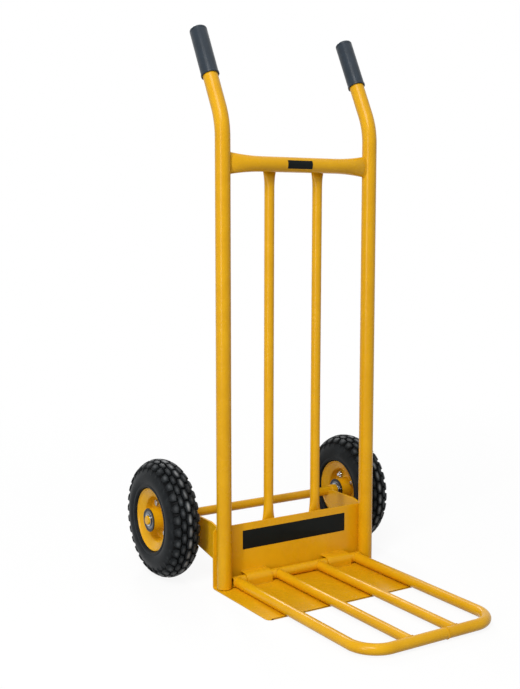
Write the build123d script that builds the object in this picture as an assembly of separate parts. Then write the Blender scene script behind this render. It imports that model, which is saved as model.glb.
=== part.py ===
from build123d import *
import os
from math import cos, radians, sin, sqrt, tan

# Hand truck with a fixed toe plate, a folding toe frame and two block-tread wheels.
# Millimetres. X runs across the truck, the load side faces -Y, Z is up.
# The origin is on the floor, midway between the axes of the two uprights.

# Uprights, crossbar and slats
upright_spacing = 374.0
upright_diameter = 32.0
upright_wall = 2.0
lean_angle = 27.3
lean_start_height = 980.0
lean_bend_radius = 140.0
handle_height = 1174.0
crossbar_height = 896.0
crossbar_end_height = 45.0
crossbar_press_length = 80.0
slat_spacing = 123.0
slat_diameter = 21.3
slat_wall = 1.5
slat_end_width = 31.0
slat_press_length = 34.0
slat_flat_length = 26.0

# Grips
grip_diameter = 37.0
grip_length = 112.0
grip_cap = 5.0
grip_bead = 0.8

# Folded sheet: toe plate below, panel behind
sheet_thickness = 3.0
sheet_fold_radius = 3.0
plate_width = 409.0
plate_front = -200.0
plate_corner_radius = 13.0
panel_height = 132.5
panel_corner_chamfer = 9.0
weld_gap = 0.1

# Axle, its two brackets and what keeps the wheels in place
axle_diameter = 20.0
axle_back = 156.0
axle_half_length = 292.5
bracket_inner_x = 187.0
bracket_thickness = 5.0
bracket_foot_height = 54.0
bracket_heel_back = 126.0
bracket_heel_height = 75.0
bracket_tail_back = 165.5
bracket_tail_height = 118.5
bracket_top_height = 137.5
bracket_top_back = 130.0
bracket_hump_back = 50.0
bracket_corner_radius = 8.0
collar_diameter = 27.0
collar_length = 14.0
washer_diameter = 30.0
washer_thickness = 2.0
ring_diameter = 26.0
ring_thickness = 1.2
ring_groove_depth = 0.5

# Wheels
wheel_track = 504.0
wheel_diameter = 260.0
hub_length = 70.0
rim_sheet = 2.0
rim_disc_diameter = 94.0
rim_wall_diameter = 99.0
rim_wall_offset = 18.5
rim_cone_diameter = 130.0
rim_cone_offset = 25.5
rim_lip_diameter = 135.0
rim_lip_offset = 28.0
tyre_half_width = 36.0
tread_depth = 4.5
tread_pitches = 30
bolt_circle = 72.0
bolt_count = 4
bolt_first_angle = 56.0
bolt_diameter = 8.0
bolt_flats = 13.0
bolt_head_height = 5.3
bolt_length = 16.0
nut_height = 6.5
valve_hole_diameter = 9.0
valve_hole_offset = 13.0
valve_hole_angle = -104.0
bearing_diameter = 47.0
bearing_width = 14.0
bearing_flange_diameter = 51.0
bearing_flange = 2.0

# Folding toe frame and its two hinge straps
toe_tube_diameter = 22.0
toe_tube_wall = 2.0
toe_bar_diameter = 20.0
toe_rail_spacing = 316.0
toe_bar_spacing = 108.0
toe_front = -457.0
toe_corner_radius = 55.0
hinge_back = -1.5
strap_thickness = 3.0
strap_width = 62.0
strap_offset = 106.0

# Clearances
turning_gap = 0.3
hinge_gap = 0.4
shaft_gap = 0.05
seat_gap = 0.1

# Worked out from the driving dimensions
upright_radius = upright_diameter / 2
upright_x = upright_spacing / 2
wheel_radius = wheel_diameter / 2
wheel_x = wheel_track / 2
axle_radius = axle_diameter / 2
hub_half = hub_length / 2
washer_start = wheel_x - hub_half - turning_gap - washer_thickness
ring_start = wheel_x + hub_half + turning_gap
panel_front = upright_radius + weld_gap
panel_back = panel_front + sheet_thickness
toe_tube_radius = toe_tube_diameter / 2
hinge_height = sheet_thickness + toe_tube_radius + turning_gap
SIDES = {"left": -1, "right": 1}


def write(node, shape):
    """Write one piece to its own file."""
    os.makedirs("parts", exist_ok=True)
    export_step(shape, f"parts/{node}.step")


def cylinder(start, direction, radius, length):
    """Solid round bar from a point along a direction."""
    return extrude(Plane(origin=start, z_dir=direction) * Circle(radius), amount=length)


def tube_along(path, diameter, wall):
    """Round tube of even wall along a path."""
    ring = Circle(diameter / 2) - Circle(diameter / 2 - wall)
    return sweep(Plane(origin=path @ 0, z_dir=path % 0) * ring, path=path)


def ring_about_x(profile):
    """Turn a profile drawn as distance across against radius into a ring about X."""
    return revolve(profile, axis=Axis.X)


def pressed_half_thickness(half_width, radius):
    """Half thickness of an oval with the same girth as a round tube, found by halving."""
    low = 0.0
    high = radius
    for _ in range(40):
        middle = (low + high) / 2
        total = half_width + middle
        girth = 3 * total - sqrt((3 * half_width + middle) * (half_width + 3 * middle))
        if girth < 2 * radius:
            low = middle
        else:
            high = middle
    return high


def pressed_end(radius, end_half_width, start, length, flat, wall, place):
    """Tube end pressed from round to a wide flat oval, then run on flat.

    place(distance, oval) puts an oval, given by its half width and half thickness, on the tube.
    """
    steps = 4
    outer = []
    inner = []
    for step in range(steps + 1):
        share = step / steps
        half_width = radius + (end_half_width - radius) * share**2
        half_thickness = pressed_half_thickness(half_width, radius)
        outer.append(place(start + length * share, half_width, half_thickness))
        inner.append(place(start + length * share, half_width - wall, half_thickness - wall))
    shape = loft(outer) - loft(inner)
    if flat > 0:
        blade = place(start + length, end_half_width, half_thickness)
        slot = place(start + length, end_half_width - wall, half_thickness - wall)
        far = place(start + length + flat, end_half_width, half_thickness)
        far_slot = place(start + length + flat, end_half_width - wall, half_thickness - wall)
        shape += loft([blade, far]) - loft([slot, far_slot])
    return shape


# Uprights with their lean at the top, and the grips over the tube ends
def upright_path(x):
    """Centre line of one upright, from the toe plate to the tube end in the grip."""
    rise = handle_height - grip_cap - lean_start_height
    return FilletPolyline(
        (x, 0, sheet_thickness),
        (x, 0, lean_start_height),
        (x, rise * tan(radians(lean_angle)), handle_height - grip_cap),
        radius=lean_bend_radius,
    )


def make_grip(x):
    """Slip-on grip: closed domed end, a bead at its mouth and a fine step under the cap."""
    path = upright_path(x)
    radius = grip_diameter / 2
    bore = upright_radius + shaft_gap
    mouth = grip_cap - grip_length
    bead_length = 5.0
    dome = 3.0
    outline = FilletPolyline(
        (0, grip_cap),
        (radius, grip_cap),
        (radius, mouth + bead_length),
        (radius + grip_bead, mouth + bead_length - grip_bead),
        (radius + grip_bead, mouth),
        radius=[dome, 0.5, 0.5],
    )
    inside = Polyline((radius + grip_bead, mouth), (bore, mouth), (bore, 0), (0, 0), (0, grip_cap))
    face = make_face(outline.edges() + inside.edges())
    turned = revolve(Plane.XZ * face, axis=Axis.Z)
    return Plane(origin=path @ 1, x_dir=(1, 0, 0), z_dir=path % 1) * turned


# Top crossbar: round in the middle, pressed tall and thin where it meets the uprights
def make_crossbar():
    """Crossbar tube with both ends pressed flat and shaped to the uprights."""
    cope = 1.5
    reach = upright_x - upright_radius + cope
    straight = reach - crossbar_press_length

    def place(distance, half_width, half_thickness):
        return Plane.YZ.offset(distance) * Pos(0, crossbar_height) * Ellipse(half_thickness, half_width)

    ring = Circle(upright_radius) - Circle(upright_radius - upright_wall)
    middle = extrude(Plane.YZ * Pos(0, crossbar_height) * ring, amount=straight, both=True)
    end = pressed_end(
        upright_radius, crossbar_end_height / 2, straight, crossbar_press_length, 0, upright_wall, place
    )
    bar = middle + end + mirror(end, about=Plane.YZ)
    for x in (-upright_x, upright_x):
        bar -= cylinder((x, 0, 0), (0, 0, 1), upright_radius, crossbar_height + 100)
    return bar


# Slats: round tubes whose pressed ends lie behind the crossbar and behind the panel
def make_slat(x):
    """Slat with flat flared ends, leaning slightly from the panel to the crossbar."""
    radius = slat_diameter / 2
    half_end = slat_end_width / 2
    half_flat = pressed_half_thickness(half_end, radius)
    low_end = panel_height - slat_flat_length
    high_end = crossbar_height - upright_radius + slat_flat_length
    low_y = panel_back + half_flat + weld_gap
    high_y = upright_radius + half_flat + weld_gap

    def centre(height):
        return low_y + (high_y - low_y) * (height - low_end) / (high_end - low_end)

    def place(height, half_width, half_thickness):
        return Plane.XY.offset(height) * Pos(x, centre(height)) * Ellipse(half_width, half_thickness)

    def place_down(depth, half_width, half_thickness):
        return place(-depth, half_width, half_thickness)

    low_round = low_end + slat_flat_length + slat_press_length
    high_round = high_end - slat_flat_length - slat_press_length
    outer = loft([place(z, radius, radius) for z in (low_round, high_round)])
    inner = loft([place(z, radius - slat_wall, radius - slat_wall) for z in (low_round, high_round)])
    press = (slat_press_length, slat_flat_length, slat_wall)
    top = pressed_end(radius, half_end, high_round, *press, place)
    bottom = pressed_end(radius, half_end, -low_round, *press, place_down)
    return outer - inner + top + bottom


# Toe plate and panel, one folded sheet
def make_toe_plate():
    """Folded sheet: rounded front corners on the plate, clipped top corners on the panel."""
    inside_fold = (panel_front, sheet_thickness)
    outside_fold = (panel_back, 0)
    outline = Polyline(
        (plate_front, 0),
        outside_fold,
        (panel_back, panel_height),
        (panel_front, panel_height),
        inside_fold,
        (plate_front, sheet_thickness),
        close=True,
    )
    profile = make_face(outline)
    profile = fillet(profile.vertices().sort_by_distance(inside_fold)[0], sheet_fold_radius)
    outer_radius = sheet_fold_radius + sheet_thickness
    profile = fillet(profile.vertices().sort_by_distance(outside_fold)[0], outer_radius)
    sheet = extrude(Plane.YZ * profile, amount=plate_width / 2, both=True)
    front_corners = sheet.edges().filter_by(Axis.Z).group_by(Axis.Y)[0]
    sheet = fillet(front_corners, plate_corner_radius)
    top_edges = sheet.edges().filter_by(Axis.Y).group_by(Axis.Z)[-1]
    return chamfer(top_edges, panel_corner_chamfer)


# Axle brackets, axle and what keeps the wheels on it
def make_bracket(side):
    """Plate behind the panel with a half-round seat for the axle at its top rear corner."""
    heel = (bracket_heel_back, bracket_heel_height)
    top = (bracket_top_back, bracket_top_height)
    plate = make_face(
        Polyline(
            (panel_back, bracket_foot_height),
            heel,
            (bracket_tail_back, bracket_tail_height),
            (axle_back, wheel_radius),
            top,
            (bracket_hump_back, bracket_top_height),
            (panel_back, panel_height - 1.5),
            close=True,
        )
    )
    plate = fillet(plate.vertices().sort_by_distance((*heel, 0))[0], bracket_corner_radius)
    plate -= Pos(axle_back, wheel_radius) * Circle(axle_radius + shaft_gap)
    near = min(side * bracket_inner_x, side * (bracket_inner_x + bracket_thickness))
    return extrude(Plane.YZ.offset(near) * plate, amount=bracket_thickness)


def on_axle(side, start, length, section):
    """Section round the axle, run from a distance from the middle of the truck outwards."""
    seat = Pos(axle_back, wheel_radius) * section
    return extrude(Plane.YZ.offset(side * start) * seat, amount=side * length)


def make_axle():
    """Round axle with chamfered ends and a groove near each end for its retaining ring."""
    start = (-axle_half_length, axle_back, wheel_radius)
    bar = cylinder(start, (1, 0, 0), axle_radius, 2 * axle_half_length)
    bar = chamfer(bar.edges().filter_by(GeomType.CIRCLE), 1.5)
    groove = Circle(axle_radius + 1) - Circle(axle_radius - ring_groove_depth)
    for side in SIDES.values():
        bar -= on_axle(side, ring_start - shaft_gap, ring_thickness + 2 * shaft_gap, groove)
    return bar


def make_collar(side):
    """Stop ring welded to the axle on the inner side of the wheel."""
    ring = Circle(collar_diameter / 2) - Circle(axle_radius + shaft_gap)
    return on_axle(side, washer_start - seat_gap - collar_length, collar_length, ring)


def make_washer(side):
    """Flat washer between the stop ring and the inner bearing."""
    ring = Circle(washer_diameter / 2) - Circle(axle_radius + shaft_gap)
    return on_axle(side, washer_start, washer_thickness, ring)


def make_retaining_ring(side):
    """Open spring ring outside the outer bearing, with a drilled lug at each end."""
    bore = axle_radius - ring_groove_depth + shaft_gap
    lug_radius = 2.4
    lug_angle = 18.0
    lug_hole = 1.0
    mouth = 2.6
    lug_place = ring_diameter / 2 - 0.8
    ring = Circle(ring_diameter / 2) - Circle(bore)
    ring -= Pos(0, lug_place) * Rectangle(mouth, 4 * lug_radius)
    for angle in (-lug_angle, lug_angle):
        place = Rot(Z=angle) * Pos(0, lug_place)
        ring = ring + place * Circle(lug_radius) - place * Circle(lug_hole)
    return on_axle(side, ring_start, ring_thickness, ring)


# Hinge straps over the rear tube of the folding toe frame
def make_strap(side):
    """Saddle of bent sheet from the panel, over the hinge tube and down to the plate."""

    def saddle(radius):
        centre = Pos(hinge_back, hinge_height)
        front_leg = Polyline(
            (hinge_back - radius, sheet_thickness),
            (hinge_back, sheet_thickness),
            (hinge_back, hinge_height),
            (hinge_back - radius, hinge_height),
            close=True,
        )
        back_leg = Polyline(
            (hinge_back, sheet_thickness),
            (panel_front, sheet_thickness),
            (panel_front, hinge_height + radius),
            (hinge_back, hinge_height + radius),
            close=True,
        )
        return centre * Circle(radius) + make_face(front_leg) + make_face(back_leg)

    inner = toe_tube_radius + hinge_gap
    profile = saddle(inner + strap_thickness) - saddle(inner)
    profile = profile & Pos(0, sheet_thickness + 50) * Rectangle(200, 100)
    start = side * strap_offset - strap_width / 2
    return extrude(Plane.YZ.offset(start) * profile, amount=strap_width)


# Folding toe frame
def front_tube_cutter():
    """Solid bar in the place of the front run of the toe frame."""
    start = (-toe_rail_spacing, toe_front, hinge_height)
    return cylinder(start, (1, 0, 0), toe_tube_radius, 2 * toe_rail_spacing)


def hinge_tube_cutter():
    """Solid bar in the place of the hinge tube."""
    start = (-toe_rail_spacing, hinge_back, hinge_height)
    return cylinder(start, (1, 0, 0), toe_tube_radius, 2 * toe_rail_spacing)


def make_toe_frame():
    """One tube bent to a U, its two ends shaped to the hinge tube."""
    half = toe_rail_spacing / 2
    path = FilletPolyline(
        (-half, hinge_back, hinge_height),
        (-half, toe_front, hinge_height),
        (half, toe_front, hinge_height),
        (half, hinge_back, hinge_height),
        radius=toe_corner_radius,
    )
    return tube_along(path, toe_tube_diameter, toe_tube_wall) - hinge_tube_cutter()


def make_hinge_tube():
    """Straight tube that turns under the two straps."""
    half = toe_rail_spacing / 2 + toe_tube_radius
    path = Line((-half, hinge_back, hinge_height), (half, hinge_back, hinge_height))
    return tube_along(path, toe_tube_diameter, toe_tube_wall)


def make_toe_bar(side):
    """Bar between the hinge tube and the front tube, shaped to both."""
    x = side * toe_bar_spacing / 2
    path = Line((x, hinge_back, hinge_height), (x, toe_front, hinge_height))
    bar = tube_along(path, toe_bar_diameter, toe_tube_wall)
    return bar - hinge_tube_cutter() - front_tube_cutter()


# Wheels, made about the X axis with the outer side towards +X
def make_rim_half():
    """Pressed half of the rim: bearing cup, flat disc, wall, flared cone and turned-out lip."""
    half = rim_sheet / 2
    cup = bearing_diameter / 2 + seat_gap + half
    middle_line = FilletPolyline(
        (hub_half - bearing_flange - seat_gap, cup),
        (half, cup),
        (half, rim_disc_diameter / 2),
        (rim_wall_offset, rim_wall_diameter / 2),
        (rim_cone_offset, rim_cone_diameter / 2),
        (rim_lip_offset, rim_lip_diameter / 2),
        radius=[3, 3, 5, 2],
    )
    dish = ring_about_x(trace(middle_line, rim_sheet))
    for place in bolt_places():
        dish -= extrude(Plane.YZ * place * Circle(bolt_diameter / 2 + 0.25), amount=2 * rim_sheet)
    return dish


def make_outer_rim():
    """Outer rim half, with the hole in its wall for the valve of an air-filled tyre."""
    angle = radians(valve_hole_angle)
    outwards = (0, cos(angle), sin(angle))
    start = (valve_hole_offset, rim_disc_diameter / 3 * cos(angle), rim_disc_diameter / 3 * sin(angle))
    return make_rim_half() - cylinder(start, outwards, valve_hole_diameter / 2, rim_disc_diameter / 3)


def make_tyre():
    """Solid tyre: smooth sidewalls, round crown and five rows of raised blocks."""
    run = rim_cone_offset - rim_wall_offset
    climb = (rim_cone_diameter - rim_wall_diameter) / 2
    slant = sqrt(run**2 + climb**2)
    clear = rim_sheet / 2 + seat_gap
    bore = rim_wall_diameter / 2 + clear
    flank_top = (rim_cone_offset - clear * climb / slant, rim_cone_diameter / 2 + clear * run / slant)
    toe_corner = flank_top[0] - (flank_top[1] - bore) * run / climb
    toe = 3.4
    flank_foot = (toe_corner + toe * run / slant, bore + toe * climb / slant)
    ring_low = (rim_lip_offset - 0.5, rim_lip_diameter / 2 + 2.5)
    ring_high = (ring_low[0] + 6.0, ring_low[1] + 0.8)
    ring_edge = (ring_high[0] + 1.6, ring_high[1] + 2.0)
    ring_top = (ring_edge[0], ring_edge[1] + 3.5)
    wall_start = (ring_top[0] - 0.8, ring_top[1] + 1.4)
    crown_radius = wheel_radius - tread_depth
    shoulder = (28.7, crown_radius - 13.9)
    widest = (tyre_half_width, 94.0)

    def half_outline(side):
        def at(point):
            return (side * point[0], point[1])

        low = [(0, bore), (toe_corner - toe, bore), flank_foot, flank_top, ring_low, ring_high]
        low += [ring_edge, ring_top, wall_start]
        wall = ThreePointArc(at(wall_start), at(widest), at(shoulder))
        return Polyline([at(point) for point in low]).edges() + [wall]

    crown = ThreePointArc(shoulder, (0, crown_radius), (-shoulder[0], shoulder[1]))
    carcass = ring_about_x(make_face(half_outline(1) + half_outline(-1) + [crown]))

    drop = crown_radius - shoulder[1]
    section = (shoulder[0] ** 2 + drop**2) / (2 * drop)
    section_centre = crown_radius - section
    root = 1.5

    def block(outline, across_angle, sink, turn):
        """Raised block on the crown, its top square to the section, flaring to its root."""
        across = radians(across_angle)
        reach = section + tread_depth - sink
        normal = (sin(across), 0, cos(across))
        origin = (reach * normal[0], 0, section_centre + reach * normal[2])
        inward = (-normal[0], 0, -normal[2])
        plane = Plane(origin=origin, x_dir=(cos(across), 0, -sin(across)), z_dir=inward)
        solid = extrude(plane * outline, amount=tread_depth - sink + root, taper=-8)
        return Rot(X=turn) * solid

    pitch = 360 / tread_pitches
    centre_points = [(7.5, 0), (5, 12), (-5, 12), (-7.5, 0), (-5, -12), (5, -12)]
    middle_points = [(-5.9, 0), (-3.7, 11), (4.2, 10.4), (6, 0), (4.2, -10.4), (-3.7, -11)]
    lug_points = [(-8.3, 0), (-5.9, 10), (2, 9.3), (8, 6), (8, -6), (2, -9.3), (-5.9, -10)]
    centre_block = make_face(Polyline(centre_points, close=True))
    blocks = []
    for number in range(tread_pitches):
        turn = number * pitch
        blocks.append(block(centre_block, 0, 0, turn))
        for side in SIDES.values():
            middle_block = make_face(Polyline([(side * x, y) for x, y in middle_points], close=True))
            lug = make_face(Polyline([(side * x, y) for x, y in lug_points], close=True))
            blocks.append(block(middle_block, side * 18.8, 0.3, turn + pitch / 2))
            blocks.append(block(lug, side * 38.4, 0.6, turn))
    return carcass.fuse(*blocks)


def make_bearing():
    """Sealed ball bearing as one ring: a flange on its outer face, the seals set back between the races."""
    bore = axle_radius + shaft_gap
    outer = bearing_diameter / 2
    flange = bearing_flange_diameter / 2
    flange_back = hub_half - bearing_flange
    back = hub_half - bearing_width
    race = 3.4
    recess = 0.8
    body = Polyline(
        (back, bore),
        (hub_half, bore),
        (hub_half, flange),
        (flange_back, flange),
        (flange_back, outer),
        (back, outer),
        close=True,
    )
    ring = ring_about_x(make_face(body))
    low = bore + race
    high = outer - race
    seal = make_face(Polyline((0, low), (recess, low), (recess, high), (0, high), close=True))
    ring -= Pos(back, 0, 0) * ring_about_x(seal)
    ring -= Pos(hub_half - recess, 0, 0) * ring_about_x(seal)
    return ring


def make_hub_sleeve():
    """Distance sleeve between the two bearings."""
    length = hub_length - 2 * (bearing_width + seat_gap)
    ring = Circle(axle_radius + 3) - Circle(axle_radius + turning_gap)
    return extrude(Plane.YZ * ring, amount=length / 2, both=True)


def bolt_places():
    """Where the rim bolts stand about the wheel."""
    angles = [radians(bolt_first_angle + number * 360 / bolt_count) for number in range(bolt_count)]
    return [Pos(bolt_circle / 2 * cos(angle), bolt_circle / 2 * sin(angle)) for angle in angles]


def make_rim_bolts():
    """Hexagon bolts with their heads on the outer disc."""
    head = RegularPolygon(bolt_flats / 2, 6, major_radius=False)
    bolts = []
    for place in bolt_places():
        bolt = extrude(Plane.YZ.offset(rim_sheet) * place * head, amount=bolt_head_height)
        bolt += extrude(Plane.YZ.offset(rim_sheet) * place * Circle(bolt_diameter / 2), amount=-bolt_length)
        bolts.append(bolt)
    return bolts


def make_rim_nuts():
    """Hexagon nuts on the inner disc."""
    section = RegularPolygon(bolt_flats / 2, 6, major_radius=False) - Circle(bolt_diameter / 2 + shaft_gap)
    nuts = []
    for place in bolt_places():
        nuts.append(extrude(Plane.YZ.offset(-rim_sheet) * place * section, amount=-nut_height))
    return nuts


# Write every piece, the left wheel as the mirror of the right one
toe_plate = make_toe_plate()
for name, side in SIDES.items():
    upright = tube_along(upright_path(side * upright_x), upright_diameter, upright_wall)
    write(f"{name}_upright", upright - toe_plate)
    write(f"{name}_grip", make_grip(side * upright_x))
    write(f"{name}_slat", make_slat(side * slat_spacing / 2))
    write(f"{name}_axle_bracket", make_bracket(side))
    write(f"{name}_axle_collar", make_collar(side))
    write(f"{name}_axle_washer", make_washer(side))
    write(f"{name}_retaining_ring", make_retaining_ring(side))
    write(f"{name}_hinge_strap", make_strap(side))
    write(f"{name}_toe_bar", make_toe_bar(side))
write("top_crossbar", make_crossbar())
write("toe_plate", toe_plate)
write("axle", make_axle())
write("toe_frame", make_toe_frame())
write("toe_hinge_tube", make_hinge_tube())

bearing = make_bearing()
wheel_pieces = {
    "tyre": make_tyre(),
    "outer_rim": make_outer_rim(),
    "inner_rim": mirror(make_rim_half(), about=Plane.YZ),
    "rim_bolts": Compound(children=make_rim_bolts()),
    "rim_nuts": Compound(children=make_rim_nuts()),
    "outer_bearing": bearing,
    "inner_bearing": mirror(bearing, about=Plane.YZ),
    "hub_sleeve": make_hub_sleeve(),
}
for piece, shape in wheel_pieces.items():
    placed = Pos(wheel_x, axle_back, wheel_radius) * shape
    write(f"right_{piece}", placed)
    write(f"left_{piece}", mirror(placed, about=Plane.YZ))
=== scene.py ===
import logging
from dataclasses import dataclass, field
from enum import Enum
from math import cos, pi, radians, sin, tan
from typing import Union

import bpy
import numpy as np
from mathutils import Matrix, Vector


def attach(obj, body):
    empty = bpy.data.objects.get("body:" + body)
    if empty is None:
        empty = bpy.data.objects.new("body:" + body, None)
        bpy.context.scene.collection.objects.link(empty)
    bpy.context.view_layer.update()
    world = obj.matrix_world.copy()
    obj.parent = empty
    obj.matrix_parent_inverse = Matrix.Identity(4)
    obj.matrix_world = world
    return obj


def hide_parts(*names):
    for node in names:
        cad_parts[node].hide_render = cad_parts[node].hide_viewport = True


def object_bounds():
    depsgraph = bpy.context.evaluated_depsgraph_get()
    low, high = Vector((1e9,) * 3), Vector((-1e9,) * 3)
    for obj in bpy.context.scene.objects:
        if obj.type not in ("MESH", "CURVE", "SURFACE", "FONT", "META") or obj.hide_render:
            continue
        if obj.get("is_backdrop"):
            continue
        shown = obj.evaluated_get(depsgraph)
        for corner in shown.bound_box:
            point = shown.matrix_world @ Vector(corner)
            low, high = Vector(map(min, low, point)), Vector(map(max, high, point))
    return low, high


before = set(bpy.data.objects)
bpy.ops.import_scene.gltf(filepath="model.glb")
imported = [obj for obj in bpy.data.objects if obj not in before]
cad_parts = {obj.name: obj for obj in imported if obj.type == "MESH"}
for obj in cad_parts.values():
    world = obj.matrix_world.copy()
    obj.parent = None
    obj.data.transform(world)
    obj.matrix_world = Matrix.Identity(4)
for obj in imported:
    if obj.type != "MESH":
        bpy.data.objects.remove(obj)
CAD_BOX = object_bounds()

Array = np.ndarray
Piece = bpy.types.Object
MM = 0.001
X_AXIS, Y_AXIS, Z_AXIS = np.eye(3)
log = logging.getLogger("hand_truck")

# Places and sizes that sub-assemblies share
TUBE_RADIUS = 16 * MM
UPRIGHT_X = 187 * MM
BAR_HEIGHT = 896 * MM
SHEET = 3 * MM
PANEL_FRONT = 16.1 * MM
PANEL_TOP = 132.5 * MM
HINGE_Y = -1.5 * MM
HINGE_Z = 14.3 * MM
AXLE_Y = 156 * MM
AXLE_Z = 130 * MM


class Side(Enum):
    """The two sides of the truck, with the sign of X on each."""

    LEFT = -1
    RIGHT = 1

    @property
    def label(self) -> str:
        """The side's name as the nodes have it."""
        return self.name.lower()


class Body(Enum):
    """The bodies that pieces ride on."""

    FRAME = "frame"
    LEFT_WHEEL = "left_wheel"
    RIGHT_WHEEL = "right_wheel"
    TOE = "folding_toe"


# Surfaces from arrays


def unit_circle(count: int) -> Array:
    """Points of a unit circle.

    Args:
        count: how many points go round.

    Returns:
        Array of shape (count, 2).
    """
    angle = np.linspace(0, 2 * pi, count, endpoint=False)
    return np.stack([np.cos(angle), np.sin(angle)], axis=-1)


def rounded_path(corners: Array, radius: Union[float, Array], steps: int = 12) -> Array:
    """Straight runs joined by round bends.

    A bend leaves its first run at the tangent point and follows
    start + radius * (sin(angle) * run + (1 - cos(angle)) * side).

    Args:
        corners: corner points, two or three numbers each.
        radius: bend radius, one for all or one for each inner corner.
        steps: points along each bend.

    Returns:
        Points of the path in order.
    """
    corners = np.asarray(corners, float)
    runs = np.diff(corners, axis=0)
    runs /= np.linalg.norm(runs, axis=1, keepdims=True)
    bends = np.broadcast_to(radius, len(corners) - 2)
    points = [corners[:1]]
    for before, after, corner, bend in zip(runs[:-1], runs[1:], corners[1:-1], bends):
        turn = np.arccos(np.clip(before @ after, -1, 1))
        side = (after - before * np.cos(turn)) / np.sin(turn)
        start = corner - before * bend * np.tan(turn / 2)
        angle = np.linspace(0, turn, steps)[:, None]
        points.append(start + bend * (np.sin(angle) * before + (1 - np.cos(angle)) * side))
    return np.concatenate(points + [corners[-1:]])


def directions(path: Array) -> Array:
    """Unit direction of a path at each point, halfway between the runs that meet there.

    Args:
        path: points of the path, two or three numbers each.

    Returns:
        Array of the same shape.
    """
    runs = np.diff(path, axis=0)
    runs /= np.linalg.norm(runs, axis=1, keepdims=True)
    ahead = np.concatenate([runs[:1], runs[:-1] + runs[1:], runs[-1:]])
    return ahead / np.linalg.norm(ahead, axis=1, keepdims=True)


def sweep(path: Array, across: Array, section: Array) -> Array:
    """Carry a section along a path.

    A point is path + first section coordinate * across + second * (direction x across).

    Args:
        path: points of shape (rows, 3).
        across: unit vector square to the path, one or one for each row.
        section: ring of shape (columns, 2), or (rows, columns, 2) where it changes on the way.

    Returns:
        Rings of shape (rows, columns, 3).
    """
    across = np.broadcast_to(across, path.shape)
    upward = np.cross(directions(path), across)
    upward /= np.linalg.norm(upward, axis=1, keepdims=True)
    return path[:, None] + section[..., :1] * across[:, None] + section[..., 1:] * upward[:, None]


def tube(path: Array, across: Array, radius: float, wall: float, count: int = 56) -> Array:
    """Hollow tube: circles of the outer radius along the path and of the bore's radius back again.

    Args:
        path: points of the centre line.
        across: unit vector square to the path.
        radius: outer radius.
        wall: thickness of the wall.
        count: points round each ring.

    Returns:
        Rings to be closed in a loop.
    """
    outer = sweep(path, across, radius * unit_circle(count))
    bore = sweep(path, across, (radius - wall) * unit_circle(count))
    return np.concatenate([outer, bore[::-1]])


def hoop(x: float, centre: tuple[float, float], radius: float, count: int) -> Array:
    """Circle square to X: a point is centre + radius * (cos(angle), sin(angle)) in YZ."""
    return np.column_stack([np.full(count, x), np.array(centre) + radius * unit_circle(count)])


def lathe(profile: Array, centre: Array, axis: Array, across: Array, count: int = 96) -> Array:
    """Turn a profile about an axis.

    A point is centre + distance * axis + radius * (cos(angle) * across + sin(angle) * (axis x across)).

    Args:
        profile: distance along the axis and radius, shape (rows, 2).
        centre: point on the axis where distance is nought.
        axis: unit vector of the axis.
        across: unit vector square to the axis, where the angle is nought.
        count: points round each ring.

    Returns:
        Rings of shape (rows, count, 3).
    """
    circle = unit_circle(count)
    spoke = circle[:, :1] * across + circle[:, 1:] * np.cross(axis, across)
    return centre + profile[:, None, :1] * axis + profile[:, None, 1:] * spoke


def sheet_profile(middle: Array, thickness: float) -> Array:
    """Closed outline of a bent sheet: middle line + and - half the thickness * normal.

    Args:
        middle: points of the middle line, two numbers each.
        thickness: thickness of the sheet.

    Returns:
        Points out along one face and back along the other.
    """
    ahead = directions(middle)
    normal = np.stack([-ahead[:, 1], ahead[:, 0]], axis=-1) * thickness / 2
    return np.concatenate([middle + normal, (middle - normal)[::-1]])


def bar_section(half_width: Array, half_height: Array, corner: float, count: int = 24) -> Array:
    """Rectangles with round corners: a small circle pushed out into the four corners.

    Args:
        half_width: half width on each row.
        half_height: half height on each row.
        corner: corner radius.
        count: points round the outline, a multiple of four.

    Returns:
        Outlines of shape (rows, count, 2).
    """
    angle = np.repeat(np.arange(4) * pi / 2, count // 4) + np.tile(np.linspace(0, pi / 2, count // 4), 4)
    circle = np.stack([np.cos(angle), np.sin(angle)], axis=-1)
    quarter = np.repeat([[1, 1], [-1, 1], [-1, -1], [1, -1]], count // 4, axis=0)
    half = np.stack([np.atleast_1d(half_width), np.atleast_1d(half_height)], axis=-1)
    return corner * circle + quarter * (half[:, None] - corner)


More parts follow.
